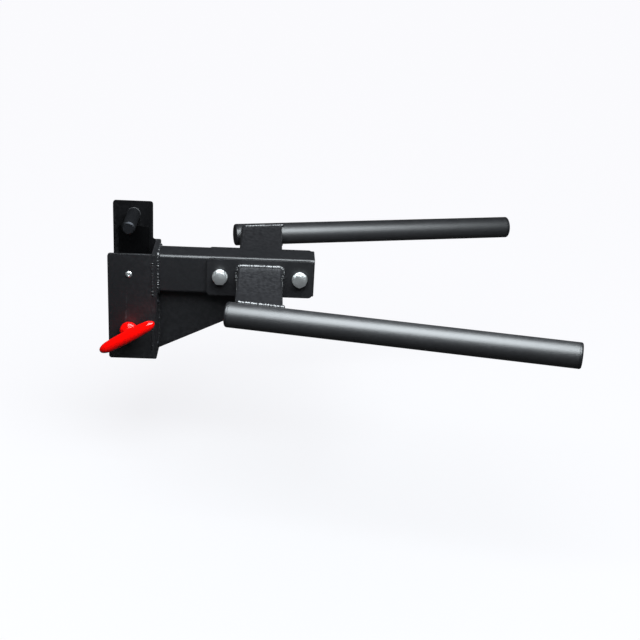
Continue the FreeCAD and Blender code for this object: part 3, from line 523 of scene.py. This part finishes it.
# a darker copy of the black powder coat, for the far side plate: painted shade
PAINTED_SHADE_COAT = powder_coat(
    "black_powder_coat_painted_shade", tone=(0.0014, 0.0014, 0.0018, 1.0), rub_and_highlight=(0.03, 0.03, 0.032, 1.0),
    roughness=(0.38, 0.44), pebbles=(1500.0, 0.00003), dust=0.006, reflection=0.28,
    lacquer=(0.0, 0.36),
)
WELD_COAT = powder_coat(
    "coated_weld", tone=(0.009, 0.009, 0.0104, 1.0), rub_and_highlight=(0.08, 0.08, 0.084, 1.0),
    roughness=(0.3, 0.38), pebbles=(1300.0, 0.00006), dust=0.02, reflection=1.0,
    lacquer=(0.9, 0.26),
)
SEAM_COAT = powder_coat(
    "coated_seam_weld", tone=(0.008, 0.008, 0.0092, 1.0), rub_and_highlight=(0.05, 0.05, 0.053, 1.0),
    roughness=(0.44, 0.5), pebbles=(1300.0, 0.00006), dust=0.012, reflection=0.5,
    lacquer=(0.1, 0.42),
)
LINER = moulded_plastic(
    "liner_plastic", tone=(0.0008, 0.0008, 0.001, 1.0), scuff=(0.015, 0.015, 0.015, 1.0),
    roughness=(0.5, 0.6), pebbles=(700.0, 0.00005), reflection=0.08,
)
CAP = moulded_plastic(
    "cap_plastic", tone=(0.007, 0.007, 0.0084, 1.0), scuff=(0.06, 0.06, 0.06, 1.0),
    roughness=(0.36, 0.46), pebbles=(900.0, 0.00006), reflection=0.8,
)
NYLON = moulded_plastic(
    "natural_nylon", tone=(0.62, 0.62, 0.58, 1.0), scuff=(0.7, 0.7, 0.66, 1.0),
    roughness=(0.35, 0.5), pebbles=(500.0, 0.00005),
)
ZINC = zinc_plate(
    "zinc_steel", bright=(0.96, 0.97, 0.965, 1.0), dull=(0.78, 0.8, 0.79, 1.0),
    roughness=(0.31, 0.42),
)
PIN_STEEL = turned_steel(
    "pin_steel", bright=(0.66, 0.66, 0.67, 1.0), dull=(0.48, 0.48, 0.49, 1.0),
    roughness=(0.22, 0.36), rub_and_highlight=0.5,
)
BLACK_STEEL = turned_steel(
    "black_oxide_steel", bright=(0.036, 0.0376, 0.0424, 1.0), dull=(0.028, 0.0292, 0.033, 1.0),
    roughness=(0.5, 0.58), rub_and_highlight=0.05,
)


def red_plastic():
    """Glossy red moulded plastic with soft flow marks."""
    material, graph, shader = new_material("red_plastic")
    grain = place_group(graph, COAT_GRAIN, Grain_Scale=420.0, Drift_Scale=30.0)
    bright = (0.88, 0.0018, 0.0008, 1.0)
    deep = (0.82, 0.0016, 0.0008, 1.0)
    graph.join(graph.blend_colours(grain["Drift"], bright, deep), shader.inputs["Base Color"])
    graph.join(graph.spread(grain["Gloss"], 0.0, 1.0, 0.08, 0.12), shader.inputs["Roughness"])
    shader.inputs["Specular IOR Level"].default_value = 0.4
    shader.inputs["Coat Weight"].default_value = 0.12
    shader.inputs["Coat Roughness"].default_value = 0.04
    bump(graph, grain["Height"], 0.2, 0.00008, shader)
    return material


RED = red_plastic()


# Plates, tubes, liners and hardware

COATED_EDGES = {
    "near_side_plate": 0.0009,
    "far_side_plate": 0.0009,
    "web_plate": 0.0006,
    "gusset_plate": 0.0008,
    "near_mounting_plate": 0.0009,
    "far_mounting_plate": 0.0009,
    "arm_tube": 0.0005,
    "near_spreader_tube": 0.0004,
    "far_spreader_tube": 0.0004,
}
for node, width in COATED_EDGES.items():
    piece = softened(node, node + "_coated", width)
    # the far side plate takes the darker copy of the coat: painted shade
    coat = PAINTED_SHADE_COAT if node == "far_side_plate" else COAT
    finish_piece(piece, "bracket", coat, "black_powder_coat", node)

for node in ("near_liner", "far_liner", "web_liner"):
    piece = softened(node, node + "_strip", LINER_EDGE)
    finish_piece(piece, "bracket", LINER, "liner_plastic", node)

piece = softened("bolt_washers", "flat_washers", WASHER_EDGE)
finish_piece(piece, "bracket", ZINC, "zinc_steel", "bolt_washers")

piece = copy_of("clamp_bolts", "turned_clamp_bolts")
turn = Matrix.Rotation(BOLT_TURN, 4, "Y")
for bolt_x in BOLT_XS:
    axis = Vector((bolt_x, 0.0, ARM_Z))
    for vertex in piece.data.vertices:
        if abs(vertex.co.x - bolt_x) < BOLT_REACH:
            vertex.co = axis + turn @ (vertex.co - axis)
shade(piece)
finish_piece(piece, "bracket", ZINC, "zinc_steel", "clamp_bolts")

# the side liners' screws are bright and the web liner's are black
piece = copy_of("liner_screws", "side_liner_screws")
keep_where(piece, lambda place: abs(place.y) > SCREW_SPLIT_Y)
shade(piece)
finish_piece(piece, "bracket", ZINC, "zinc_steel", "liner_screws")

piece = copy_of("liner_screws", "web_liner_screws")
keep_where(piece, lambda place: abs(place.y) < SCREW_SPLIT_Y)
shade(piece)
finish_piece(piece, "bracket", BLACK_STEEL, "black_steel")

piece = softened("lock_nuts", "nylon_lock_nuts", NUT_EDGE, segments=2)
finish_piece(piece, "bracket", ZINC, "zinc_steel", "lock_nuts")

# these solids keep their own meshes and only get a material
for node, material in (
    ("hook_pin", BLACK_STEEL),
    ("locking_pin_shaft", PIN_STEEL),
    ("liner_nuts", ZINC),
    ("nut_inserts", NYLON),
    ("arm_end_cap", CAP),
    ("near_handle_inner_cap", CAP),
    ("near_handle_outer_cap", CAP),
    ("far_handle_inner_cap", CAP),
    ("far_handle_outer_cap", CAP),
):
    NODES[node].data.materials.clear()
    NODES[node].data.materials.append(material)


# Handles

def handle_frame(side):
    """The start of a handle's axis and its direction towards the open end."""
    direction = Vector((math.cos(HANDLE_ANGLE), side * math.sin(HANDLE_ANGLE), 0.0))
    beside = Vector((MOUNT_CENTRE_X, side * HANDLE_HALF_SPREAD, ARM_Z))
    return beside - direction * HANDLE_TAIL, direction


def handle_tube(side, name, node):
    """A round tube with a drawn bore and dressed rims."""
    start, direction = handle_frame(side)
    centre = start + direction * (HANDLE_LENGTH / 2)
    bpy.ops.object.select_all(action="DESELECT")
    bpy.ops.mesh.primitive_cylinder_add(
        vertices=HANDLE_SIDES, radius=HANDLE_RADIUS, depth=HANDLE_LENGTH, end_fill_type="NOTHING",
        location=centre, rotation=(0.0, math.radians(90.0), side * HANDLE_ANGLE),
    )
    piece = bpy.context.object
    piece.name = name
    settle(piece)
    apply_modifier(piece, "SOLIDIFY", thickness=HANDLE_WALL, offset=-1.0, use_rim=True)
    tidy_mesh(piece)
    round_edges(piece, RIM_WIDTH, RIM_ANGLE)
    return finish_piece(piece, "bracket", HANDLE_COAT, "black_powder_coat", node)


handle_tube(-1, "near_handle_grip", "near_handle_tube")
handle_tube(1, "far_handle_grip", "far_handle_tube")


# Weld beads

def rounded_loop(width, height, radius, step):
    """Evenly spaced points round a rectangle with rounded corners, as (u, v, 0) vectors."""
    corners = []
    for u_sign, v_sign, first in ((1, 1, 0), (-1, 1, 90), (-1, -1, 180), (1, -1, 270)):
        centre = (u_sign * (width / 2 - radius), v_sign * (height / 2 - radius))
        for turn in range(0, 91, 15):
            angle = math.radians(first + turn)
            u = centre[0] + radius * math.cos(angle)
            v = centre[1] + radius * math.sin(angle)
            corners.append(Vector((u, v, 0.0)))
    corners.append(corners[0])
    return spaced(corners, step)


def spaced(points, step):
    """Points every step along a path."""
    result = [points[0]]
    carry = 0.0
    for start, finish in zip(points, points[1:]):
        length = (finish - start).length
        along = step - carry
        while along <= length:
            result.append(start.lerp(finish, along / length))
            along += step
        carry = (carry + length) % step if length else carry
    return result


def weld_run(places, radius, jitter, dice, ends):
    """One row of overlapping solidified ripples, as separate flattened drops of metal."""
    drops = []
    bpy.ops.object.select_all(action="DESELECT")
    bpy.ops.mesh.primitive_ico_sphere_add(subdivisions=2, radius=1.0, location=(0.0, 0.0, 0.0))
    master = bpy.context.object
    for index, place in enumerate(places):
        following = places[min(index + 1, len(places) - 1)]
        before = places[max(index - 1, 0)]
        heading = (following - before).normalized()
        size = radius * dice.uniform(1.0 - jitter, 1.0 + jitter)
        if index == 0:
            size *= ends[0]
        elif index == len(places) - 1:
            size *= ends[1]
        wander = Vector((dice.uniform(-1, 1), dice.uniform(-1, 1), dice.uniform(-1, 1)))
        shift = wander * radius * jitter * 0.5
        turn = heading.to_track_quat("X", "Z").to_matrix().to_4x4()
        squeeze = Matrix.Diagonal((size * RIPPLE_LENGTH, size, size, 1.0))
        drop = bpy.data.objects.new("drop", master.data.copy())
        bpy.context.scene.collection.objects.link(drop)
        drop.matrix_world = Matrix.Translation(place + shift) @ turn @ squeeze
        drops.append(drop)
    bpy.data.objects.remove(master)
    return drops


def weld_piece(
    name, runs, node, radius, seed, jitter=0.16, voxel=0.0006, coat=WELD_COAT, ends=(1.0, 1.0),
):
    """Runs of ripples fused into one rough bead; ends scale the first and last drop of a run."""
    dice = random.Random(seed)
    drops = []
    for places in runs:
        drops += weld_run(places, radius, jitter, dice, ends)
    select_only(*drops)
    bpy.ops.object.join()
    piece = bpy.context.object
    piece.name = name
    settle(piece)
    apply_modifier(piece, "REMESH", mode="VOXEL", voxel_size=voxel, adaptivity=0.0)
    apply_modifier(piece, "SMOOTH", factor=0.5, iterations=2)
    tidy_mesh(piece)
    shade(piece, 80.0)
    return finish_piece(piece, "bracket", coat, "black_powder_coat", node)


def straight_run(start, finish, step=RIPPLE):
    """Ripple places along a straight line."""
    count = max(2, int(round((finish - start).length / step)) + 1)
    return [start.lerp(finish, index / (count - 1)) for index in range(count)]


outline = rounded_loop(ARM_WIDTH + LOOP_GROWTH, ARM_HEIGHT + LOOP_GROWTH, ARM_RADIUS, RIPPLE)
arm_loop = [Vector((WEB_OUTER_X + STAND_OFF, place.x, ARM_Z + place.y)) for place in outline]
weld_piece("arm_weld_bead", [arm_loop], "arm_weld", radius=0.0039, seed=11)

outline = rounded_loop(
    SPREADER_WIDTH + LOOP_GROWTH, SPREADER_HEIGHT + LOOP_GROWTH, SPREADER_RADIUS, RIPPLE,
)
spreader_loops = []
for side in (-1, 1):
    y = side * (MOUNT_OUTER_Y + PLATE_STAND_OFF)
    spreader_loops.append([
        Vector((MOUNT_CENTRE_X + place.x, y, ARM_Z + place.y)) for place in outline
    ])
weld_piece("spreader_weld_beads", spreader_loops, "spreader_welds", radius=0.0045, seed=23)

handle_runs = []
for side in (-1, 1):
    start, direction = handle_frame(side)
    inward = Vector((direction.y, -direction.x, 0.0)) * side
    middle = start + direction * HANDLE_TAIL
    for face in (-1, 1):
        # the bead lies where the spreader's flat face meets the round tube
        rise = SPREADER_HEIGHT / 2
        out = math.sqrt(max(HANDLE_RADIUS ** 2 - rise ** 2, 0.0)) + HANDLE_BEAD_OUT
        line = middle + inward * out + Vector((0.0, 0.0, face * (rise - HANDLE_BEAD_DROP)))
        half = SPREADER_WIDTH / 2 / math.cos(HANDLE_ANGLE) - HANDLE_BEAD_END_GAP
        line = line + direction * (out * math.tan(HANDLE_ANGLE))
        handle_runs.append(straight_run(line - direction * half, line + direction * half))
weld_piece("handle_weld_beads", handle_runs, "handle_welds", radius=0.0042, seed=37)

gusset_runs = []
for side in (-1, 1):
    y = side * (GUSSET_HALF_THICKNESS + STAND_OFF)
    web_face = WEB_OUTER_X + STAND_OFF
    foot = Vector((web_face, y, BOTTOM_Z + GUSSET_BOTTOM_MARGIN + GUSSET_END_GAP))
    top = Vector((web_face, y, ARM_BOTTOM_Z - GUSSET_SNIPE - GUSSET_END_GAP))
    gusset_runs.append(straight_run(foot, top))
    arm_face = ARM_BOTTOM_Z - STAND_OFF
    root = Vector((WEB_OUTER_X + GUSSET_SNIPE + GUSSET_END_GAP, y, arm_face))
    tip = Vector((WEB_OUTER_X + GUSSET_LENGTH - GUSSET_TIP_GAP, y, arm_face))
    gusset_runs.append(straight_run(root, tip))
weld_piece(
    "gusset_weld_beads", gusset_runs, "gusset_welds", radius=0.0025, seed=41,
    coat=SEAM_COAT, ends=(0.6, 0.6),
)

ring_run = []
for index in range(RING_STEPS + 1):
    angle = math.radians(index * 360.0 / RING_STEPS)
    across, up = RING_RADIUS * math.cos(angle), RING_RADIUS * math.sin(angle)
    ring_run.append(Vector((across, INNER_Y - PLATE_STAND_OFF, up)))
weld_piece(
    "hook_pin_weld_bead", [ring_run], "hook_pin_weld", radius=0.0015, seed=53,
    voxel=0.0004, coat=SEAM_COAT,
)

seam_runs = []
for side in (-1, 1):
    for low, length in SEAM_STITCHES:
        foot = Vector((WEB_INNER_X + SEAM_OUT_X, side * (OUTER_Y - SEAM_INSET_Y), low))
        seam_runs.append(straight_run(foot, foot + Vector((0.0, 0.0, length)), SEAM_STEP))
weld_piece(
    "web_seam_welds", seam_runs, "web_welds", radius=0.0034, seed=67,
    jitter=0.12, coat=SEAM_COAT, ends=(1.3, 1.15),
)


# T-handle

t_handle = copy_of("t_handle", "t_handle_moulding")
apply_modifier(t_handle, "REMESH", mode="VOXEL", voxel_size=MOULD_VOXEL, adaptivity=0.0)
apply_modifier(t_handle, "SMOOTH", factor=0.5, iterations=MOULD_SMOOTHING)
tidy_mesh(t_handle)
shade(t_handle, 60.0)
finish_piece(t_handle, "t_handle", RED, "red_plastic", "t_handle")


# Studio

def mirror_share(graph, rays):
    """How much of the pale background mirrored and passed rays see."""
    mirrored = (rays.outputs["Is Glossy Ray"], rays.outputs["Is Transmission Ray"])
    return graph.times(graph.value("MAXIMUM", *mirrored), GLOSSY_SHARE)


def build_world():
    """A soft grey studio that the camera sees as the pale background."""
    world = bpy.data.worlds.new("studio")
    world.use_nodes = True
    graph = Graph(world.node_tree)
    graph.nodes.clear()
    around = graph.add("ShaderNodeBackground")
    around.inputs["Color"].default_value = STUDIO_GREY
    seen = graph.add("ShaderNodeBackground")
    seen.inputs["Color"].default_value = BACKGROUND
    rays = graph.add("ShaderNodeLightPath")
    share = graph.value("MAXIMUM", rays.outputs["Is Camera Ray"], mirror_share(graph, rays))
    mix = graph.add("ShaderNodeMixShader")
    graph.join(share, mix.inputs[0])
    graph.join(around.outputs[0], mix.inputs[1])
    graph.join(seen.outputs[0], mix.inputs[2])
    graph.join(mix.outputs[0], graph.add("ShaderNodeOutputWorld").inputs["Surface"])
    bpy.context.scene.world = world


def lamp_on_floor(graph):
    """How bright the open floor looks under the lamp, in floor coordinates."""
    facing = (LAMP_TARGET - LAMP_PLACE).normalized()
    above = LAMP_PLACE - FLOOR_CENTRE
    toward = graph.add("ShaderNodeVectorMath", operation="SUBTRACT")
    toward.inputs[0].default_value = above
    graph.join(graph.add("ShaderNodeTexCoord").outputs["Object"], toward.inputs[1])
    leaving = graph.add("ShaderNodeVectorMath", operation="DOT_PRODUCT")
    graph.join(toward.outputs[0], leaving.inputs[0])
    leaving.inputs[1].default_value = -facing
    square = graph.add("ShaderNodeVectorMath", operation="DOT_PRODUCT")
    graph.join(toward.outputs[0], square.inputs[0])
    graph.join(toward.outputs[0], square.inputs[1])
    fourth = graph.value("POWER", square.outputs["Value"], 2.0)
    falling = graph.value("DIVIDE", leaving.outputs["Value"], fourth)
    height_and_power = FLOOR_TONE / math.pi * LAMP_POWER / 4.0 * above.z
    return graph.times(falling, height_and_power, clamp=True)


def build_floor():
    """A plain pale floor that keeps the object's soft shadow."""
    bpy.ops.object.select_all(action="DESELECT")
    bpy.ops.mesh.primitive_plane_add(size=FLOOR_SIZE, location=FLOOR_CENTRE)
    floor = bpy.context.object
    floor.name = "studio_floor"
    material = bpy.data.materials.new("studio_floor")
    material.use_nodes = True
    graph = Graph(material.node_tree)
    graph.nodes.clear()
    rays = graph.add("ShaderNodeLightPath")
    base = graph.add("ShaderNodeBsdfDiffuse")
    tone = graph.blend_colours(rays.outputs["Is Camera Ray"], FLOOR_BOUNCE, FLOOR_COLOUR)
    graph.join(tone, base.inputs["Color"])
    glow = graph.add("ShaderNodeEmission")
    glow.inputs["Color"].default_value = BACKGROUND
    even = graph.value("SUBTRACT", 1.0, lamp_on_floor(graph), clamp=True)
    camera_share = graph.times(rays.outputs["Is Camera Ray"], even)
    strength = graph.value("ADD", camera_share, mirror_share(graph, rays))
    graph.join(strength, glow.inputs["Strength"])
    both = graph.add("ShaderNodeAddShader")
    graph.join(base.outputs[0], both.inputs[0])
    graph.join(glow.outputs[0], both.inputs[1])
    graph.join(both.outputs[0], graph.add("ShaderNodeOutputMaterial").inputs["Surface"])
    floor.data.materials.append(material)


def soft_box(name, place, target, size, power, colour=(1.0, 1.0, 1.0), mirrored=True):
    """A rectangular area lamp that looks at a target."""
    light = bpy.data.lights.new(name, "AREA")
    light.shape = "RECTANGLE"
    light.size, light.size_y = size
    light.energy = power
    light.color = colour
    lamp = bpy.data.objects.new(name, light)
    bpy.context.scene.collection.objects.link(lamp)
    lamp.location = place
    lamp.visible_camera = False
    lamp.visible_glossy = mirrored
    lamp.rotation_euler = (target - place).to_track_quat("-Z", "Y").to_euler()


def build_camera():
    """The photograph's camera: place, direction, roll and focal length."""
    back = Vector((
        math.sin(CAMERA_AZIMUTH) * math.cos(CAMERA_ELEVATION),
        -math.cos(CAMERA_AZIMUTH) * math.cos(CAMERA_ELEVATION),
        math.sin(CAMERA_ELEVATION),
    ))
    level = (-back).cross(Vector((0.0, 0.0, 1.0))).normalized()
    down = (-back).cross(level)
    right = level * math.cos(CAMERA_ROLL) + down * math.sin(CAMERA_ROLL)
    up = level * math.sin(CAMERA_ROLL) - down * math.cos(CAMERA_ROLL)
    turn = Matrix((right, up, back)).transposed()
    data = bpy.data.cameras.new("photo_camera")
    data.sensor_width = SENSOR_WIDTH
    data.lens = CAMERA_LENS
    data.clip_end = 100.0
    camera = bpy.data.objects.new("photo_camera", data)
    bpy.context.scene.collection.objects.link(camera)
    camera.matrix_world = Matrix.Translation(CAMERA_PLACE) @ turn.to_4x4()
    bpy.context.scene.camera = camera


build_world()
build_floor()
soft_box("overhead_box", LAMP_PLACE, LAMP_TARGET, LAMP_SIZE, LAMP_POWER, LAMP_COLOUR)
soft_box("front_fill", FILL_PLACE, FILL_TARGET, FILL_SIZE, FILL_POWER, mirrored=False)
build_camera()
bpy.context.scene.view_settings.view_transform = "Standard"
